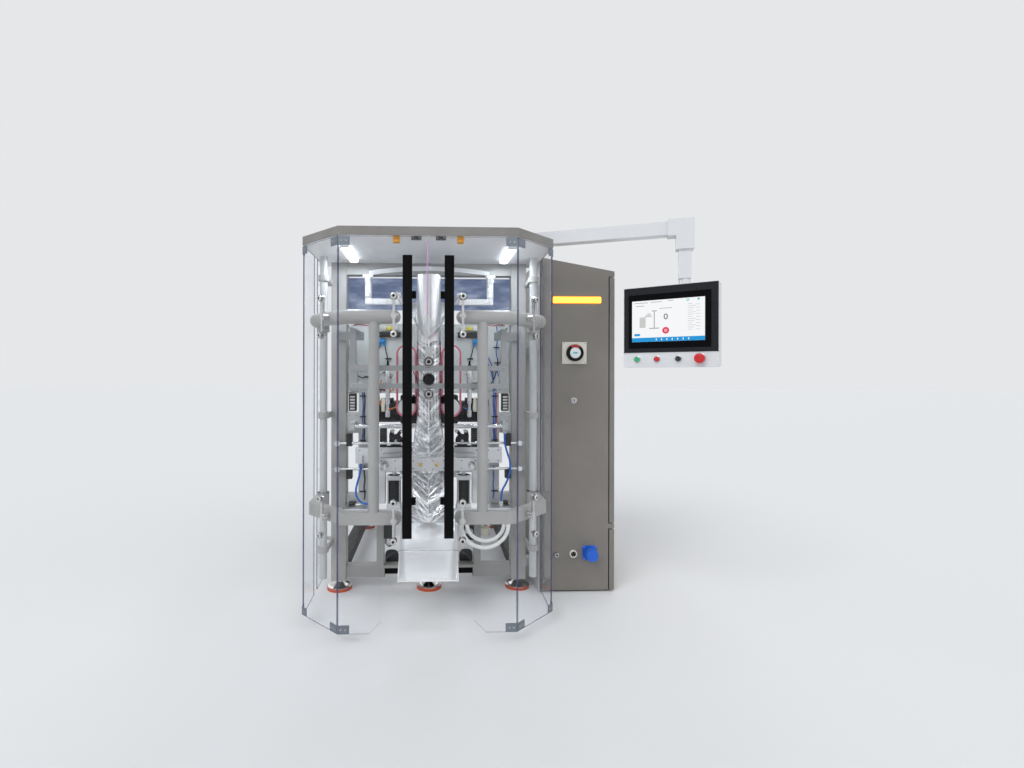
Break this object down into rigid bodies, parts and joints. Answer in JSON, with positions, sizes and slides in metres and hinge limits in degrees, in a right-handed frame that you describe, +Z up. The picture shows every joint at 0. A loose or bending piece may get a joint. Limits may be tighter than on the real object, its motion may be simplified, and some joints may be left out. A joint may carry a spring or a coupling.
{
  "type": "vertical form fill seal machine",
  "caption": "Bag packing machine: guarded forming tube, film belts, sealing jaws and discharge chute on a square tube frame, with a side cabinet and a swing arm operator panel.",
  "frame": {"origin": "on the floor under the middle front levelling foot", "axes": "+X to the operator's right, +Y away from the operator, +Z up along the forming tube"},
  "size_m": [1.7729, 1.7843, 1.771],
  "materials": {
    "frame_paint": "satin grey-beige paint",
    "dark_paint": "satin dark paint",
    "light_paint": "light grey paint",
    "cabinet_paint": "fine texture grey-brown paint",
    "roof_paint": "satin grey-beige paint",
    "ceiling_white": "white paint",
    "stainless": "brushed",
    "polished_steel": "polished",
    "aluminium": "satin anodised",
    "arm_silver": "silver-grey paint",
    "clear_pane": "clear polished sheet",
    "mint_paint": "pale grey paint",
    "handle_black": "matt black",
    "black_plastic": "matt black",
    "foot_rubber": "orange-red rubber",
    "belt_rubber": "pink-red belt",
    "film_foil": "metallised film",
    "lamp_white": "glowing diffuser",
    "lamp_amber": "glowing amber diffuser",
    "panel_charcoal": "gloss charcoal",
    "screen_glass": "black glass",
    "button_mix": "moulded plastic",
    "inlet_blue": "moulded blue plastic",
    "switch_ivory": "moulded plastic",
    "switch_orange": "moulded orange-yellow plastic",
    "hose_white": "smooth white hose",
    "tube_blue": "smooth blue tube"
  },
  "bodies": {
    "machine": {"arm_base": "aluminium", "back_plate": "mint_paint", "belt_pulleys": "aluminium", "blue_tube_left": "tube_blue", "blue_tube_right": "tube_blue", "bottom_rails": "frame_paint", "cabinet_fittings": "switch_ivory", "cabinet_shell": "cabinet_paint", "carrier_beams": "dark_paint", "ceiling_lamps": "lamp_white", "ceiling_panel": "ceiling_white", "cross_rods": "polished_steel", "discharge_chute": "stainless", "door_switches": "switch_orange", "drive_motors": "black_plastic", "film_reel": "film_foil", "film_rollers": "aluminium", "film_tube": "film_foil", "finished_bag": "film_foil", "fixed_panes": "clear_pane", "foot_pads": "foot_rubber", "forming_shoulder": "stainless", "forming_tube": "stainless", "frame_legs": "frame_paint", "guide_columns": "light_paint", "hinge_posts": "frame_paint", "levelling_feet": "polished_steel", "lift_cylinders": "black_plastic", "post_brackets": "stainless", "power_inlet": "inlet_blue", "pull_belts": "belt_rubber", "right_side_panel": "light_paint", "roof_canopy": "roof_paint", "sealer_frame": "aluminium", "status_light": "lamp_amber", "unwind_plates": "frame_paint", "upper_rails": "frame_paint", "vertical_sealer": "stainless", "white_hose_back": "hose_white", "white_hose_front": "hose_white"},
    "left_door": {"left_door_frame": "frame_paint", "left_door_panes": "clear_pane", "left_door_glass_holders": "polished_steel", "left_door_corner_brackets": "dark_paint", "left_door_handle": "handle_black"},
    "right_door": {"right_door_frame": "frame_paint", "right_door_panes": "clear_pane", "right_door_glass_holders": "polished_steel", "right_door_corner_brackets": "dark_paint", "right_door_handle": "handle_black"},
    "front_jaw_body": {"front_jaw": "stainless"},
    "rear_jaw_body": {"rear_jaw": "stainless"},
    "arm": {"control_arm": "arm_silver"},
    "panel": {"panel_body": "arm_silver", "panel_bezel": "panel_charcoal", "panel_screen": "screen_glass", "panel_buttons": "button_mix"},
    "upper_service_door": {"cabinet_upper_door": "cabinet_paint"},
    "lower_service_door": {"cabinet_lower_door": "cabinet_paint"},
    "switch_knob": {"main_switch": "black_plastic"}
  },
  "joints": [
    {"name": "left_door_swing", "type": "hinge", "parent": "machine", "child": "left_door", "pos_m": [-0.508, -0.166, 0.85], "axis": [0, 0, -1], "range_deg": [0, 60]},
    {"name": "right_door_swing", "type": "hinge", "parent": "machine", "child": "right_door", "pos_m": [0.508, -0.166, 0.85], "axis": [0, 0, 1], "range_deg": [0, 60]},
    {"name": "front_jaw_slide", "type": "slide", "parent": "machine", "child": "front_jaw_body", "axis": [0, -1, 0], "range_m": [0, 0.06]},
    {"name": "rear_jaw_slide", "type": "slide", "parent": "machine", "child": "rear_jaw_body", "axis": [0, 1, 0], "range_m": [0, 0.06]},
    {"name": "arm_swing", "type": "hinge", "parent": "machine", "child": "arm", "pos_m": [0.458, -0.228, 1.735], "axis": [0, 0, 1], "range_deg": [-10, 12]},
    {"name": "panel_swivel", "type": "hinge", "parent": "arm", "child": "panel", "pos_m": [1.10969, -0.48078, 1.5], "axis": [0, 0, 1], "range_deg": [-25, 35]},
    {"name": "upper_service_door_swing", "type": "hinge", "parent": "machine", "child": "upper_service_door", "pos_m": [0.947, 0.643, 0.95], "axis": [0, 0, 1], "range_deg": [0, 110]},
    {"name": "lower_service_door_swing", "type": "hinge", "parent": "machine", "child": "lower_service_door", "pos_m": [0.947, 0.643, 0.15], "axis": [0, 0, 1], "range_deg": [0, 110]},
    {"name": "main_switch_turn", "type": "hinge", "parent": "machine", "child": "switch_knob", "pos_m": [0.7315, -0.1, 1.208], "axis": [0, -1, 0], "range_deg": [0, 90]}
  ],
  "couplings": [
    {"joint": "rear_jaw_slide", "follows": "front_jaw_slide", "ratio": 1}
  ]
}
